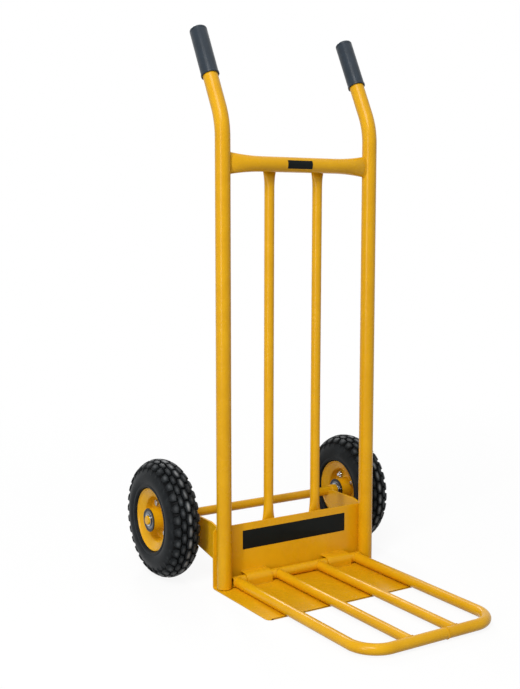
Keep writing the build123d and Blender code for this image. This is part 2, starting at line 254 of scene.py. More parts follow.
def skin(name: str, *shells: Array, loop: bool = False, sharp: float = 34) -> Piece:
    """Make a mesh from grids of points whose columns close on themselves.

    Args:
        name: name of the piece.
        shells: rings of shape (rows, columns, 3), one array for each closed skin.
        loop: the last ring joins the first, as on a tube with a bore; otherwise both ends are capped.
        sharp: edges that turn by more than this many degrees stay crisp.

    Returns:
        The new piece, with its faces outward.
    """
    points, faces, start = [], [], 0
    for rings in shells:
        rows, columns = rings.shape[:2]
        index = start + np.arange(rows * columns).reshape(rows, columns)
        low = index if loop else index[:-1]
        high = np.roll(index, -1, axis=0) if loop else index[1:]
        quads = np.stack([low, np.roll(low, -1, 1), np.roll(high, -1, 1), high], axis=-1).reshape(-1, 4)
        flat = rings.reshape(-1, 3)
        centred = flat - flat.mean(axis=0)
        a, b, c, d = (centred[quads[:, corner] - start] for corner in range(4))
        volume = np.sum(np.cross(b - a, c - a) * a) + np.sum(np.cross(c - a, d - a) * a)
        caps = [] if loop else [index[0][::-1], index[-1]]
        for cap in caps:
            ring = centred[cap - start]
            volume += np.sum(np.cross(ring[1:-1] - ring[0], ring[2:] - ring[0]) * ring[0])
        if volume < 0:
            quads = quads[:, ::-1]
            caps = [cap[::-1] for cap in caps]
        points.append(flat)
        faces += quads.tolist() + [cap.tolist() for cap in caps]
        start += rows * columns
    mesh = bpy.data.meshes.new(name)
    mesh.from_pydata(np.concatenate(points).tolist(), [], faces)
    mesh.polygons.foreach_set("use_smooth", np.ones(len(mesh.polygons), bool))
    mesh.set_sharp_from_angle(angle=radians(sharp))
    piece = bpy.data.objects.new(name, mesh)
    bpy.context.scene.collection.objects.link(piece)
    return piece


# Finishes


def linear(hex_colour: str) -> tuple[float, float, float, float]:
    """Scene-linear colour of an sRGB hex value, by the sRGB curve.

    Args:
        hex_colour: six hex digits.

    Returns:
        Red, green, blue and full alpha.
    """
    value = np.array([int(hex_colour[at : at + 2], 16) for at in (0, 2, 4)]) / 255
    value = np.where(value <= 0.04045, value / 12.92, ((value + 0.055) / 1.055) ** 2.4)
    return (*value.tolist(), 1.0)


def add_node(tree: bpy.types.NodeTree, kind: str, inputs: dict, **settings: object) -> bpy.types.Node:
    """Add a node with its settings, and set or link its inputs.

    Args:
        tree: node tree of the material or world.
        kind: Blender's name of the node type.
        inputs: socket name or number to a value, or to an output socket to link.
        settings: properties of the node.

    Returns:
        The new node.
    """
    node = tree.nodes.new(kind)
    for key, value in settings.items():
        setattr(node, key, value)
    for key, value in inputs.items():
        if isinstance(value, bpy.types.NodeSocket):
            tree.links.new(value, node.inputs[key])
        else:
            node.inputs[key].default_value = value
    return node


@dataclass(frozen=True)
class Finish:
    """A finish with cloudy colour, uneven gloss and a fine grain, all at real sizes in metres."""

    name: str
    slot: str
    colour: str
    second: str
    cloud: float
    grain: float
    relief: float
    roughness: tuple[float, float]
    metallic: float = 0.0
    specular: float = 0.15
    anisotropy: float = 0.0

    def tone(self, tree: bpy.types.NodeTree, drift: bpy.types.NodeSocket) -> bpy.types.NodeSocket:
        """Colour of the finish.

        Args:
            tree: the material's node tree.
            drift: slow noise from about 0.3 to 0.7.

        Returns:
            Output socket of the colour.
        """
        share = add_node(tree, "ShaderNodeMapRange", {0: drift, 1: 0.32, 2: 0.68, 3: 0.0, 4: 1.0})
        mix = {0: share.outputs[0], 6: linear(self.colour), 7: linear(self.second)}
        return add_node(tree, "ShaderNodeMix", mix, data_type="RGBA").outputs[2]

    def material(self) -> bpy.types.Material:
        """The finish as a material, made once and then used again.

        Returns:
            The material.
        """
        made = bpy.data.materials.get(self.name)
        if made:
            return made
        made = bpy.data.materials.new(self.name)
        made.use_nodes = True
        tree = made.node_tree
        shader = tree.nodes["Principled BSDF"]
        place = add_node(tree, "ShaderNodeTexCoord", {}).outputs["Object"]
        cloud = {"Vector": place, "Scale": 1 / self.cloud, "Detail": 4.0, "Roughness": 0.6}
        drift = add_node(tree, "ShaderNodeTexNoise", cloud).outputs["Fac"]
        grain = {"Vector": place, "Scale": 1 / self.grain, "Detail": 2.0}
        rise = add_node(tree, "ShaderNodeTexNoise", grain).outputs["Fac"]
        gloss = {0: drift, 1: 0.3, 2: 0.7, 3: self.roughness[0], 4: self.roughness[1]}
        rough = add_node(tree, "ShaderNodeMapRange", gloss).outputs[0]
        bump = {"Strength": 1.0, "Distance": self.relief, "Height": rise}
        shade = add_node(tree, "ShaderNodeBump", bump).outputs["Normal"]
        tree.links.new(self.tone(tree, drift), shader.inputs["Base Color"])
        tree.links.new(rough, shader.inputs["Roughness"])
        tree.links.new(shade, shader.inputs["Normal"])
        shader.inputs["Metallic"].default_value = self.metallic
        shader.inputs["Specular IOR Level"].default_value = self.specular
        if self.anisotropy:
            lines = add_node(tree, "ShaderNodeTangent", {}, direction_type="RADIAL", axis="X").outputs[0]
            tree.links.new(lines, shader.inputs["Tangent"])
            shader.inputs["Anisotropic"].default_value = self.anisotropy
        return made

    def dress(self, piece: Piece) -> None:
        """Give the finish to every material slot of a piece.

        Args:
            piece: the mesh to dress.
        """
        if not piece.material_slots:
            piece.data.materials.append(None)
        for slot in piece.material_slots:
            slot.material = self.material()


@dataclass(frozen=True)
class TreadRubber(Finish):
    """Rubber with painted shade that darkens the grooves, and painted highlights as grey patches on the
    blocks.
    """

    # Painted shade: the grooves are drawn in this darker tone.
    groove: str = "0C0D0E"
    # Painted highlight: grey that stands in for glints of light on the blocks.
    glint: str = "8E9193"

    def tone(self, tree: bpy.types.NodeTree, drift: bpy.types.NodeSocket) -> bpy.types.NodeSocket:
        """Colour of the rubber by an attribute on the mesh's points, which carries painted light and shade.

        It is 0 in a groove, where painted shade darkens the rubber, 0.5 on plain rubber and 1 on a painted
        highlight.

        Args:
            tree: the material's node tree.
            drift: slow noise from about 0.3 to 0.7.

        Returns:
            Output socket of the colour.
        """
        plain = Finish.tone(self, tree, drift)
        shade_and_glint = add_node(tree, "ShaderNodeAttribute", {}, attribute_name="tread_shade_and_glint").outputs["Fac"]
        # Painted shade: the rubber darkens towards the grooves.
        groove = {0: shade_and_glint, 1: 0.0, 2: 0.5, 3: 0.0, 4: 1.0}
        raised = add_node(tree, "ShaderNodeMapRange", groove).outputs[0]
        mix = {0: raised, 6: linear(self.groove), 7: plain}
        groove_shaded = add_node(tree, "ShaderNodeMix", mix, data_type="RGBA").outputs[2]
        # Painted highlight: grey patches on the blocks that stand in for glints of light.
        glint = {0: shade_and_glint, 1: 0.5, 2: 1.0, 3: 0.0, 4: 1.0}
        glinting = add_node(tree, "ShaderNodeMapRange", glint).outputs[0]
        patches = {0: drift, 1: 0.3, 2: 0.6, 3: 0.25, 4: 1.0}
        patchy = add_node(tree, "ShaderNodeMapRange", patches).outputs[0]
        share = add_node(tree, "ShaderNodeMath", {0: glinting, 1: patchy}, operation="MULTIPLY").outputs[0]
        mix = {0: share, 6: groove_shaded, 7: linear(self.glint)}
        return add_node(tree, "ShaderNodeMix", mix, data_type="RGBA").outputs[2]


# Golden stoving enamel over steel: a clear narrow highlight, faint orange peel, slight drift of colour.
ENAMEL = Finish("stoved_yellow_enamel_on_steel", "yellow_paint", "E3AA10", "DAA00C",
                60 * MM, 2.2 * MM, 0.03 * MM, (0.23, 0.32), specular=0.22)
# The same enamel over weld metal: a little darker and rougher, with spatter in it.
WELD_ENAMEL = Finish("stoved_yellow_enamel_on_weld", "yellow_paint", "D69E0E", "C68E0A",
                     9 * MM, 1.2 * MM, 0.15 * MM, (0.4, 0.55))
# Moulded vinyl: blue-black with a soft streak of light, and the faint pebble of the mould.
GRIP_VINYL = Finish("moulded_black_vinyl", "grip_plastic", "2A343E", "232B33",
                    25 * MM, 0.9 * MM, 0.03 * MM, (0.28, 0.4), specular=0.22)
# Moulded tyre rubber: near black with a low sheen, with painted shade that darkens the grooves and painted
# highlights as grey patches on the blocks.
RUBBER = TreadRubber("moulded_black_rubber", "tyre_rubber", "1A1C1E", "272A2C",
                     22 * MM, 1.1 * MM, 0.08 * MM, (0.3, 0.46), specular=0.05)
# Bright zinc plate: cool silver with cloudy gloss.
ZINC = Finish("bright_zinc_plate_on_steel", "zinc_steel", "C9CCCF", "A9AEB2",
              6 * MM, 0.8 * MM, 0.02 * MM, (0.16, 0.34), metallic=1.0)
# Ground bearing steel, drawn dark as painted shade of the recess round the hub, and drawn into bright fans
# by fine grinding lines about the X axis.
# The real lines are some hundredths of a millimetre apart, so their grain is drawn coarser to show.
RACE_STEEL = Finish("ground_bearing_steel", "bearing_steel", "373A40", "2B2E33",
                    5 * MM, 0.5 * MM, 0.01 * MM, (0.24, 0.34), metallic=1.0, anisotropy=0.75)
# Pressed steel shield: paler than the races, with the same fans and the same coarser grain.
SHIELD = Finish("pressed_steel_shield", "bearing_steel", "777A80", "5F6268",
                5 * MM, 0.5 * MM, 0.01 * MM, (0.22, 0.32), metallic=1.0, anisotropy=0.75)
# Painted shade for the valve hole: a dark grey disc with a dull sheen, set just under the lip, stands in
# for the shaded depth of the hole.
HOLE_SHADE = Finish("painted_hole_shade", "tyre_rubber", "1D1F21", "26282A",
              7 * MM, 0.7 * MM, 0.02 * MM, (0.4, 0.55))
# Bare printed film: satin black with a faint bloom.
LABEL_FILM = Finish("satin_black_label_film", "grip_plastic", "0F1313", "151918",
                    40 * MM, 0.7 * MM, 0.01 * MM, (0.4, 0.5), specular=0.08)


# Sub-assemblies


@dataclass
class Assembly:
    """A group of pieces that is built and dressed together."""

    pieces: list[Piece] = field(default_factory=list, init=False)

    def place(self, piece: Piece, finish: Finish, body: Body, *nodes: str) -> Piece:
        """Dress a new piece, let it ride on a body, and let it stand for CAD nodes.

        Args:
            piece: the new mesh.
            finish: its finish.
            body: the body that it rides on.
            nodes: CAD nodes that it replaces.

        Returns:
            The same piece.
        """
        finish.dress(piece)
        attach(piece, body.value)
        if nodes:
            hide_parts(*nodes)
        self.pieces.append(piece)
        return piece

    def keep(self, node: str, finish: Finish) -> None:
        """Show a CAD node as it is, in a finish."""
        finish.dress(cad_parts[node])
        self.pieces.append(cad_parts[node])


def weld_bead(
    path: Array, toward: Array, radius: float, closed: bool = False, pitch: float = 3.2 * MM
) -> Array:
    """Weld bead along a line, swelling once for each step of the torch.

    The radius is base * (0.88 + 0.5 * (0.5 - |saw|)), where saw runs from -0.5 to 0.5 along each step.
    An open bead's ends shrink by the root of the distance to the end.

    Args:
        path: points of the line.
        toward: vector that is square enough to the line to lay the section out from.
        radius: radius of the bead.
        closed: the line ends where it starts.
        pitch: length of one torch step.

    Returns:
        Rings of the bead.
    """
    rows_per_step = 5
    line = np.concatenate([path, path[:1]]) if closed else path
    run = np.concatenate([[0], np.cumsum(np.linalg.norm(np.diff(line, axis=0), axis=1))])
    rows = max(2, round(run[-1] / pitch)) * rows_per_step + 1
    along = np.linspace(0, run[-1], rows)
    points = np.stack([np.interp(along, run, line[:, axis]) for axis in range(3)], axis=-1)
    saw = (np.arange(rows) / rows_per_step + 0.5) % 1 - 0.5
    swell = 0.88 + 0.5 * (0.5 - np.abs(saw))
    if not closed:
        taper = np.clip(np.minimum(along, along[-1] - along) / (1.5 * radius), 0, 1)
        swell = swell * (0.25 + 0.75 * np.sqrt(taper))
    ahead = directions(points)
    across = np.broadcast_to(toward, points.shape)
    across = across - ahead * np.sum(across * ahead, axis=1, keepdims=True)
    across /= np.linalg.norm(across, axis=1, keepdims=True)
    rings = sweep(points, across, radius * swell[:, None, None] * unit_circle(10))
    return rings[:-1] if closed else rings


@dataclass
class Uprights(Assembly):
    """Two tubes that lean back at the top, with slip-on grips."""

    radius: float = TUBE_RADIUS
    wall: float = 2 * MM
    offset: float = UPRIGHT_X
    foot: float = 4 * MM
    foot_ease: float = 1.8 * MM
    lean: float = radians(27.3)
    lean_start: float = 980 * MM
    bend: float = 140 * MM
    top: float = 1169 * MM
    grip_radius: float = 18.5 * MM
    grip_length: float = 112 * MM
    grip_cap: float = 5 * MM
    grip_bead: float = 0.8 * MM
    bead_length: float = 4 * MM
    line_place: float = 7 * MM
    line_depth: float = 0.45 * MM

    def path(self, side: Side) -> Array:
        """Centre line of one upright: straight up, a bend, and straight on along the lean.

        Args:
            side: which upright.

        Returns:
            Points of the line.
        """
        x = side.value * self.offset
        reach = (self.top - self.lean_start) * tan(self.lean)
        corners = [(x, 0, self.foot), (x, 0, self.lean_start), (x, reach, self.top)]
        return rounded_path(corners, self.bend, 28)

    def rings(self, side: Side) -> Array:
        """Rings of one upright: out along the skin and back along the bore.

        At the foot the skin's radius is short by ease * (1 - sin(angle)), at a height of
        ease * (1 - cos(angle)).

        Args:
            side: which upright.

        Returns:
            Rings to be closed in a loop.
        """
        path = self.path(side)
        angle = np.linspace(0, pi / 2, 6)
        foot = path[0] + self.foot_ease * (1 - np.cos(angle))[:, None] * Z_AXIS
        line = np.concatenate([foot, path[1:]])
        short = np.zeros(len(line))
        short[:6] = self.foot_ease * (1 - np.sin(angle))
        circle = unit_circle(64)
        outer = sweep(line, X_AXIS, (self.radius - short)[:, None, None] * circle)
        bore = sweep(path, X_AXIS, (self.radius - self.wall) * circle)
        return np.concatenate([outer, bore[::-1]])

    def grip(self, side: Side) -> Piece:
        """Grip: a thick sleeve with a lip at its mouth and a domed end with a fine step.

        Args:
            side: which upright it is on.

        Returns:
            The grip's mesh, a profile turned about the tube end.
        """
        path = self.path(side)
        axis = directions(path)[-1]
        r, low, cap = self.grip_radius, self.grip_cap - self.grip_length, self.grip_cap
        bead, mouth = r + self.grip_bead, low + self.bead_length
        line, floor = cap - self.line_place, r - self.line_depth
        corners = np.array([
            (mouth, self.radius + 0.1 * MM), (low, self.radius + 0.6 * MM), (low, bead), (mouth, bead),
            (mouth + 1 * MM, r), (line, r), (line - 0.6 * MM, floor), (line + 1 * MM, floor),
            (line + 1.6 * MM, r), (cap, r), (cap + 0.01 * MM, 0.3 * MM),
        ])
        bends = np.array([0.3, 0.7, 0.7, 0.6, 0.12, 0.12, 0.12, 0.12, 3.2]) * MM
        profile = rounded_path(corners, bends, 7)
        return skin(f"{side.label}_grip_sleeve", lathe(profile, path[-1], axis, X_AXIS, 72), sharp=40)

    def build(self) -> None:
        """Build both uprights and grips."""
        for side in Side:
            piece = skin(f"{side.label}_upright_tube", self.rings(side), loop=True)
            self.place(piece, ENAMEL, Body.FRAME, f"{side.label}_upright")
            self.place(self.grip(side), GRIP_VINYL, Body.FRAME, f"{side.label}_grip")


def pressed_thickness(half_width: Array, radius: float) -> Array:
    """Half thickness of ovals that have the girth of a round tube.

    The girth is taken as 3 (a + b) - sqrt((3 a + b) (a + 3 b)) times pi; b is stepped until it fits.

    Args:
        half_width: wide half axis of each oval.
        radius: radius of the tube before pressing.

    Returns:
        Narrow half axis of each oval.
    """
    thin = np.full_like(half_width, radius)
    for _ in range(60):
        total = half_width + thin
        girth = 3 * total - np.sqrt((3 * half_width + thin) * (half_width + 3 * thin))
        thin = thin + 0.5 * (2 * radius - girth)
    return thin


@dataclass
class BackRest(Assembly):
    """Top crossbar with tall pressed ends, and two slats with flared pressed ends."""

    bar_radius: float = TUBE_RADIUS
    bar_height: float = BAR_HEIGHT
    bar_end: float = 22.5 * MM
    bar_press: float = 80 * MM
    upright_x: float = UPRIGHT_X
    slat_radius: float = 10.65 * MM
    slat_x: float = 61.5 * MM
    slat_end: float = 15.5 * MM
    slat_press: float = 34 * MM
    slat_flat: float = 26 * MM
    panel_top: float = PANEL_TOP
    panel_back: float = PANEL_FRONT + SHEET

    def bar_ovals(self, distance: Array) -> tuple[Array, Array]:
        """Half axes of the crossbar: the height grows as the square of the way along the pressed end.

        Args:
            distance: distances from the bar's middle.

        Returns:
            Half height and half thickness at each of them.
        """
        reach = self.upright_x - self.bar_radius
        share = np.clip((distance - (reach - self.bar_press)) / self.bar_press, 0, 1)
        tall = self.bar_radius + (self.bar_end - self.bar_radius) * share**2
        return tall, pressed_thickness(tall, self.bar_radius)

    def bar_rings(self) -> Array:
        """Rings of the crossbar: ovals along X, each point drawn out to the upright's round face.

        Returns:
            Rings of shape (rows, columns, 3).
        """
        reach = self.upright_x - self.bar_radius
        press = np.linspace(reach - self.bar_press, reach, 25)
        x = np.concatenate([-press[::-1], press])
        tall, thin = self.bar_ovals(np.abs(x))
        circle = unit_circle(64)
        y = thin[:, None] * circle[:, 0]
        z = self.bar_height + tall[:, None] * circle[:, 1]
        cope = self.upright_x - np.sqrt(self.bar_radius**2 - y[-1] ** 2)
        return np.stack([x[:, None] / reach * cope, y, z], axis=-1)

    def slat_rings(self, side: Side) -> Array:
        """Rings of one slat: ovals up Z that flare to a flat end at both ends.

        Args:
            side: which slat.

        Returns:
            Rings of shape (rows, columns, 3).
        """
        low = self.panel_top - self.slat_flat
        high = self.bar_height - self.bar_radius + self.slat_flat
        edge = 0.4 * MM
        press = np.linspace(0, self.slat_press, 22)
        lower = np.concatenate([[low, low + edge], low + self.slat_flat + press])
        upper = np.concatenate([high - self.slat_flat - press[::-1], [high - edge, high]])
        z = np.concatenate([lower, upper])
        near = np.minimum(z - low, high - z)
        share = np.clip(1 - (near - self.slat_flat) / self.slat_press, 0, 1)
        wide = self.slat_radius + (self.slat_end - self.slat_radius) * share**2
        thin = pressed_thickness(wide, self.slat_radius)
        trim = edge * (near < edge / 2)
        low_y = self.panel_back + thin[0] + 0.1 * MM
        high_y = self.bar_radius + thin[0] + 0.1 * MM
        y = low_y + (high_y - low_y) * (z - low) / (high - low)
        circle = unit_circle(48)
        across = side.value * self.slat_x + (wide - trim)[:, None] * circle[:, 0]
        back = y[:, None] + (thin - trim)[:, None] * circle[:, 1]
        return np.stack([across, back, np.broadcast_to(z[:, None], back.shape)], axis=-1)

    def build(self) -> None:
        """Build the crossbar and both slats."""
        self.place(skin("pressed_crossbar", self.bar_rings()), ENAMEL, Body.FRAME, "top_crossbar")
        for side in Side:
            piece = skin(f"{side.label}_pressed_slat", self.slat_rings(side))
            self.place(piece, ENAMEL, Body.FRAME, f"{side.label}_slat")


@dataclass
class Base(Assembly):
    """Folded plate and panel, hinge straps and axle brackets."""

    sheet: float = SHEET
    half_width: float = 204.5 * MM
    front: float = -200 * MM
    corner: float = 13 * MM
    panel_front: float = PANEL_FRONT
    panel_top: float = PANEL_TOP
    clip: float = 9 * MM
    fold: float = 3 * MM
    edge: float = 0.5 * MM
    hinge_y: float = HINGE_Y
    hinge_z: float = HINGE_Z
    strap_outer: float = 14.4 * MM
    strap_sheet: float = 1.9 * MM
    strap_half: float = 31 * MM
    strap_x: float = 106 * MM
    bracket_x: float = 187 * MM
    bracket_sheet: float = 5 * MM
    axle_y: float = AXLE_Y
    axle_z: float = AXLE_Z
    seat_radius: float = 10.05 * MM
    tail: tuple[float, float] = (165.5 * MM, 118.5 * MM)
    heel: tuple[float, float] = (126 * MM, 75 * MM)
    foot_height: float = 54 * MM
    hump: tuple[float, float] = (50 * MM, 137.5 * MM)
    crest: tuple[float, float] = (130 * MM, 137.5 * MM)

    def plate_rings(self) -> Array:
        """Folded sheet: a thin rounded bar carried along the fold, its width drawn in at the corners.

        The round corners draw it in by corner - sqrt(corner^2 - (corner - distance)^2).

        Returns:
            Rings from the plate's front edge to the panel's top edge.
        """
        half = self.sheet / 2
        middle = self.panel_front + half
        radius = self.fold + half
        bite = self.corner * (1 - np.cos(np.linspace(0, pi / 2, 14)))
        start = np.concatenate([bite[:1], [self.edge], bite[2:]])
        front = np.stack([np.zeros(14), self.front + start, np.full(14, half)], axis=-1)
        corners = [front[-1], (0, middle, half), (0, middle, self.panel_top - self.clip)]
        bend = rounded_path(corners, radius, 12)
        rise = np.array([self.panel_top - self.edge, self.panel_top])
        top = np.stack([np.zeros(2), np.full(2, middle), rise], axis=-1)
        path = np.concatenate([front, bend[1:], top])
        inset = np.zeros(len(path))
        inset[:14] = self.corner - np.sqrt(np.maximum(self.corner**2 - (self.corner - start) ** 2, 0))
        inset[-2:] = self.clip - (self.panel_top - rise)
        thick = np.full(len(path), half)
        thick[[0, -1]] = half - self.edge
        inset[[0, -1]] += self.edge * 0.5
        section = bar_section(self.half_width - inset, thick, self.edge)
        return sweep(path, X_AXIS, section)

    def strap_rings(self, side: Side) -> Array:
        """Hinge strap: a flat bar carried from the panel, over the hinge tube and down to the plate.

        Args:
            side: which strap.

        Returns:
            Rings of shape (rows, columns, 3).
        """
        x = side.value * self.strap_x
        bend = self.strap_outer - self.strap_sheet / 2
        top = self.hinge_z + bend
        toe = self.hinge_y - bend
        corners = [(x, self.panel_front, top), (x, toe, top), (x, toe, self.sheet)]
        path = rounded_path(corners, bend, 18)
        rows = np.ones(len(path))
        section = bar_section(self.strap_half * rows, self.strap_sheet / 2 * rows, self.edge)
        return sweep(path, X_AXIS, section)

    def seat_arc(self, radius: float) -> Array:
        """Half-round seat under the axle: an arc from its front lip round to its rear lip.

        Args:
            radius: radius of the arc about the axle.

        Returns:
            Points of (y, z).
        """
        hub = np.array([self.axle_y, self.axle_z])
        front, rear = (np.array(point) - hub for point in (self.crest, self.tail))
        turn = np.linspace(np.arctan2(front[1], front[0]), 2 * pi + np.arctan2(rear[1], rear[0]), 40)
        return hub + radius * np.stack([np.cos(turn), np.sin(turn)], axis=-1)

    def bracket_rings(self, side: Side) -> Array:
        """Bracket plate: its outline in YZ carried across X, drawn in a little at both faces.

        Args:
            side: which bracket.

        Returns:
            Rings from one face, over the eased edges, to the other face.
        """
        back = self.panel_front + self.sheet
        seat = self.seat_arc(self.seat_radius)
        corners = [seat[-1], self.tail, self.heel, (back, self.foot_height),
                   (back, self.panel_top - 1.5 * MM), self.hump, self.crest, seat[0]]
        rest = rounded_path(corners, np.array([1, 8, 0.5, 0.5, 12, 3]) * MM, 9)[1:-1]
        outline = np.concatenate([seat, rest])
        ahead = directions(np.concatenate([outline[-1:], outline, outline[:1]]))[1:-1]
        outward = np.stack([-ahead[:, 1], ahead[:, 0]], axis=-1)
        tight = outline - self.edge * outward
        low = min(side.value * self.bracket_x, side.value * (self.bracket_x + self.bracket_sheet))
        high = low + self.bracket_sheet
        layers = [(low, tight), (low + self.edge, outline), (high - self.edge, outline), (high, tight)]
        return np.stack([np.column_stack([np.full(len(ring), x), ring]) for x, ring in layers])

    def build(self) -> None:
        """Build the folded sheet, the straps and the brackets."""
        self.place(skin("folded_plate", self.plate_rings()), ENAMEL, Body.FRAME, "toe_plate")
        for side in Side:
            strap = skin(f"{side.label}_saddle_strap", self.strap_rings(side))
            self.place(strap, ENAMEL, Body.FRAME, f"{side.label}_hinge_strap")
            bracket = skin(f"{side.label}_bracket_plate", self.bracket_rings(side))
            self.place(bracket, ENAMEL, Body.FRAME, f"{side.label}_axle_bracket")


@dataclass
class Axle(Assembly):
    """Painted axle with its stop rings, washers and spring rings."""

    radius: float = 10 * MM
    y: float = AXLE_Y
    z: float = AXLE_Z
    chamfer: float = 1.5 * MM
    core: float = 0.2 * MM
    half_length: float = 292.5 * MM
    collar_radius: float = 13.5 * MM
    collar: tuple[float, float] = (200.6 * MM, 214.6 * MM)
    washer_radius: float = 15 * MM
    washer: tuple[float, float] = (214.7 * MM, 216.7 * MM)
    ring: tuple[float, float] = (287.3 * MM, 288.5 * MM)
    ring_bore: float = 9.55 * MM
    ring_radius: float = 13 * MM
    lug_radius: float = 2.4 * MM
    lug_hole: float = 1.0 * MM
    lug_turn: float = radians(18)

    @property
    def centre(self) -> Array:
        """Point on the axle in the middle of the truck."""
        return np.array([0, self.y, self.z])

    def turned(self, corners: list[tuple[float, float]], bends: Array, count: int = 48) -> Array:
        """Rings of a profile of (x, radius) corners turned about the axle."""
        return lathe(rounded_path(corners, bends, 5), self.centre, X_AXIS, Y_AXIS, count)

    def band(self, span: tuple[float, float], side: Side, outer: float, ease: float) -> Array:
        """Closed ring round the axle.

        Args:
            span: where it starts and ends, as distances from the middle of the truck.
            side: which end of the axle.
            outer: outer radius.
            ease: radius of its outer edges.

        Returns:
            Rings of its skin, to be closed in a loop.
        """
        start, stop = (side.value * x for x in span)
        bore = self.radius + 0.05 * MM
        middle = (start + stop) / 2
        corners = [(middle, bore), (start, bore), (start, outer),
                   (stop, outer), (stop, bore), (middle, bore)]
        return self.turned(corners, np.array([0.2 * MM, ease, ease, 0.2 * MM]))

    def spring_ring(self, side: Side) -> tuple[Array, list[Array]]:
        """Open spring ring: a flat bar bent round the axle, with a drilled lug at each end.

        Args:
            side: which end of the axle.

        Returns:
            Rings of the bar, and closed rings of the two lugs.
        """
        middle = self.centre + side.value * np.mean(self.ring) * X_AXIS
        half_thick = np.ptp(self.ring) / 2
        path_radius = (self.ring_bore + self.ring_radius) / 2
        turn = np.linspace(pi / 2 + self.lug_turn, 5 * pi / 2 - self.lug_turn, 60)
        spoke = np.stack([0 * turn, np.cos(turn), np.sin(turn)], axis=-1)
        rows = np.ones(len(turn))
        section = bar_section(half_thick * rows, (self.ring_radius - self.ring_bore) / 2 * rows, 0.15 * MM)
        bar = sweep(middle + path_radius * spoke, X_AXIS, section)
        lug = np.array([(-half_thick, self.lug_hole), (-half_thick, self.lug_radius),
                        (half_thick, self.lug_radius), (half_thick, self.lug_hole)])
        reach = self.ring_radius - 0.8 * MM
        ends = [reach * np.array([0, sin(lean), cos(lean)]) for lean in (-self.lug_turn, self.lug_turn)]
        return bar, [lathe(lug, middle + end, X_AXIS, Y_AXIS, 24) for end in ends]

    def build(self) -> None:
        """Build the axle and what is on it."""
        end, r, ease = self.half_length, self.radius, self.chamfer
        corners = [(-end, self.core), (-end, r - ease), (ease - end, r),
                   (end - ease, r), (end, r - ease), (end, self.core)]
        bar = self.turned(corners, np.full(4, 0.5) * MM)
        self.place(skin("painted_axle", bar), ENAMEL, Body.FRAME, "axle")
        for side in Side:
            label = side.label
            collar = self.band(self.collar, side, self.collar_radius, 1.2 * MM)
            piece = skin(f"{label}_stop_ring", collar, loop=True)
            self.place(piece, ENAMEL, Body.FRAME, f"{label}_axle_collar")
            washer = self.band(self.washer, side, self.washer_radius, 0.5 * MM)
            piece = skin(f"{label}_flat_washer", washer, loop=True)
            self.place(piece, ZINC, Body.FRAME, f"{label}_axle_washer")
            bar, lugs = self.spring_ring(side)
            self.place(skin(f"{label}_spring_ring", bar), ZINC, Body.FRAME, f"{label}_retaining_ring")
            self.place(skin(f"{label}_ring_lugs", *lugs, loop=True), ZINC, Body.FRAME)


def plateau(distance: Array, wall: float) -> Array:
    """One inside an outline and nought outside, by a smooth step of the wall's width across its edge."""
    share = np.clip(0.5 - distance / wall, 0, 1)
    return share * share * (3 - 2 * share)


def oval(across: Array, along: Array, half: tuple[float, float]) -> Array:
    """One in the middle of an oval, fading to nought at 1.3 times its half axes."""
    return np.clip(1.3 - np.hypot(across / half[0], along / half[1]), 0, 1)


